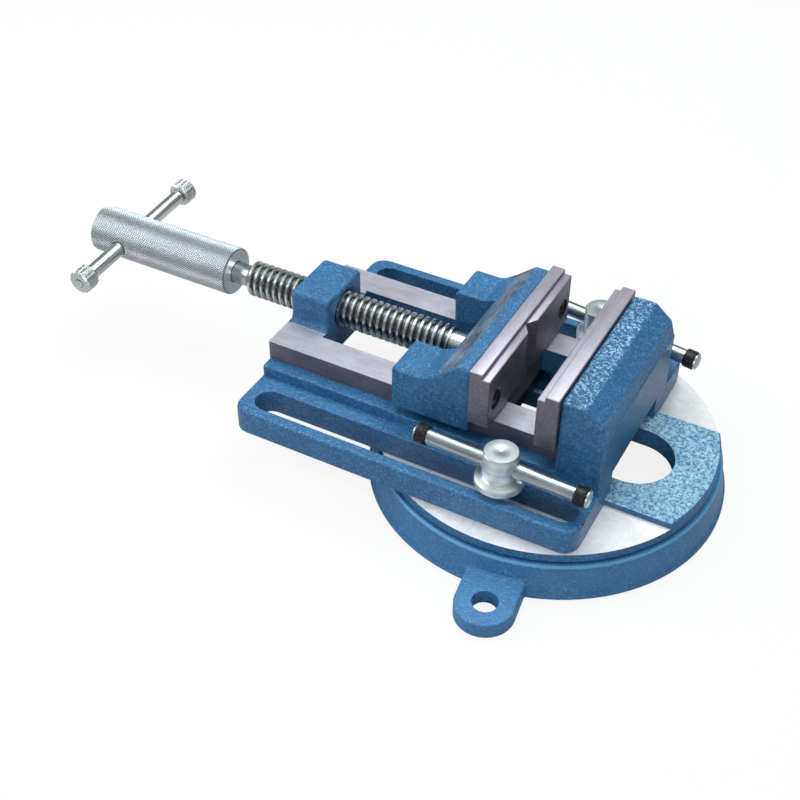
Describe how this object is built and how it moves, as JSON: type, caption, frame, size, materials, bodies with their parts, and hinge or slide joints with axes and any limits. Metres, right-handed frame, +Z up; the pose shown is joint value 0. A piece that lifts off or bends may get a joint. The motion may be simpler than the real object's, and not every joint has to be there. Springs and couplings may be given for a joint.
{
  "type": "drill press vise",
  "caption": "Swivel-base drill press vise with a screw-driven sliding jaw, ground jaw plates, a knurled handle with a tommy bar, and T-bar clamp bolts.",
  "frame": {"origin": "on the table, in the middle of the vise's outline seen from above; the swivel axis stands at x = 0.09435 m, y = 0", "axes": "+Z up; +X along the screw, from the tommy bar to the fixed jaw; +Y completes the right-handed frame, away from the picture's camera"},
  "size_m": [0.3762, 0.2448, 0.09],
  "materials": {
    "blue_enamel": "hammered blue enamel on cast iron",
    "ground_steel": "ground steel",
    "bright_zinc": "bright zinc-plated turned steel",
    "dark_steel": "dark oiled steel",
    "black_oxide": "black-oxide knurled steel"
  },
  "bodies": {
    "base": {"base_ring": "blue_enamel"},
    "swivel_table": {"turntable": "blue_enamel", "clamp_nut_near": "dark_steel", "clamp_nut_far": "dark_steel"},
    "vise": {"vise_body": "blue_enamel", "fixed_jaw_plate": "ground_steel", "fixed_plate_screw_near": "dark_steel", "fixed_plate_screw_far": "dark_steel"},
    "jaw": {"moving_jaw": "blue_enamel", "moving_jaw_plate": "ground_steel", "keeper_plate": "dark_steel", "moving_plate_screw_near": "dark_steel", "moving_plate_screw_far": "dark_steel", "keeper_screw_back_near": "dark_steel", "keeper_screw_back_far": "dark_steel", "keeper_screw_front_near": "dark_steel", "keeper_screw_front_far": "dark_steel", "retaining_pin_near": "dark_steel", "retaining_pin_far": "dark_steel"},
    "screw": {"lead_screw": "bright_zinc", "handle_sleeve": "bright_zinc"},
    "tommy": {"tommy_bar": "bright_zinc", "tommy_knob_near": "bright_zinc", "tommy_knob_far": "bright_zinc"},
    "near_clamp": {"clamp_bolt_near": "bright_zinc"},
    "far_clamp": {"clamp_bolt_far": "bright_zinc"},
    "near_clamp_bar": {"clamp_bar_near": "bright_zinc", "clamp_cap_near_left": "black_oxide", "clamp_cap_near_right": "black_oxide"},
    "far_clamp_bar": {"clamp_bar_far": "bright_zinc", "clamp_cap_far_left": "black_oxide", "clamp_cap_far_right": "black_oxide"}
  },
  "joints": [
    {"name": "swivel", "type": "hinge", "parent": "base", "child": "swivel_table", "pos_m": [0.09435, 0, 0.0175], "axis": [0, 0, 1], "continuous": true},
    {"name": "body_slide", "type": "slide", "parent": "swivel_table", "child": "vise", "axis": [1, 0, 0], "range_m": [-0.035, 0.13]},
    {"name": "jaw_slide", "type": "slide", "parent": "vise", "child": "jaw", "axis": [1, 0, 0], "range_m": [-0.076, 0.0237]},
    {"name": "screw_turn", "type": "hinge", "parent": "jaw", "child": "screw", "pos_m": [0.06445, 0, 0.0593], "axis": [1, 0, 0], "range_deg": [-6840.5, 2133.5]},
    {"name": "tommy_slide", "type": "slide", "parent": "screw", "child": "tommy", "axis": [0, 0.9982, 0.0593], "range_m": [-0.031, 0.025]},
    {"name": "near_clamp_turn", "type": "hinge", "parent": "swivel_table", "child": "near_clamp", "pos_m": [0.09435, -0.064, 0.0391], "axis": [0, 0, 1], "range_deg": [-6.1, 9.9]},
    {"name": "far_clamp_turn", "type": "hinge", "parent": "swivel_table", "child": "far_clamp", "pos_m": [0.09435, 0.064, 0.0391], "axis": [0, 0, 1], "range_deg": [0, 16]},
    {"name": "near_clamp_bar_slide", "type": "slide", "parent": "near_clamp", "child": "near_clamp_bar", "axis": [0.9995, -0.0332, 0], "range_m": [-0.029, 0.029]},
    {"name": "far_clamp_bar_slide", "type": "slide", "parent": "far_clamp", "child": "far_clamp_bar", "axis": [0.9903, -0.1392, 0], "range_m": [-0.041, 0.017]}
  ],
  "couplings": [
    {"joint": "screw_turn", "follows": "jaw_slide", "rad_per_m": 1570.8}
  ]
}
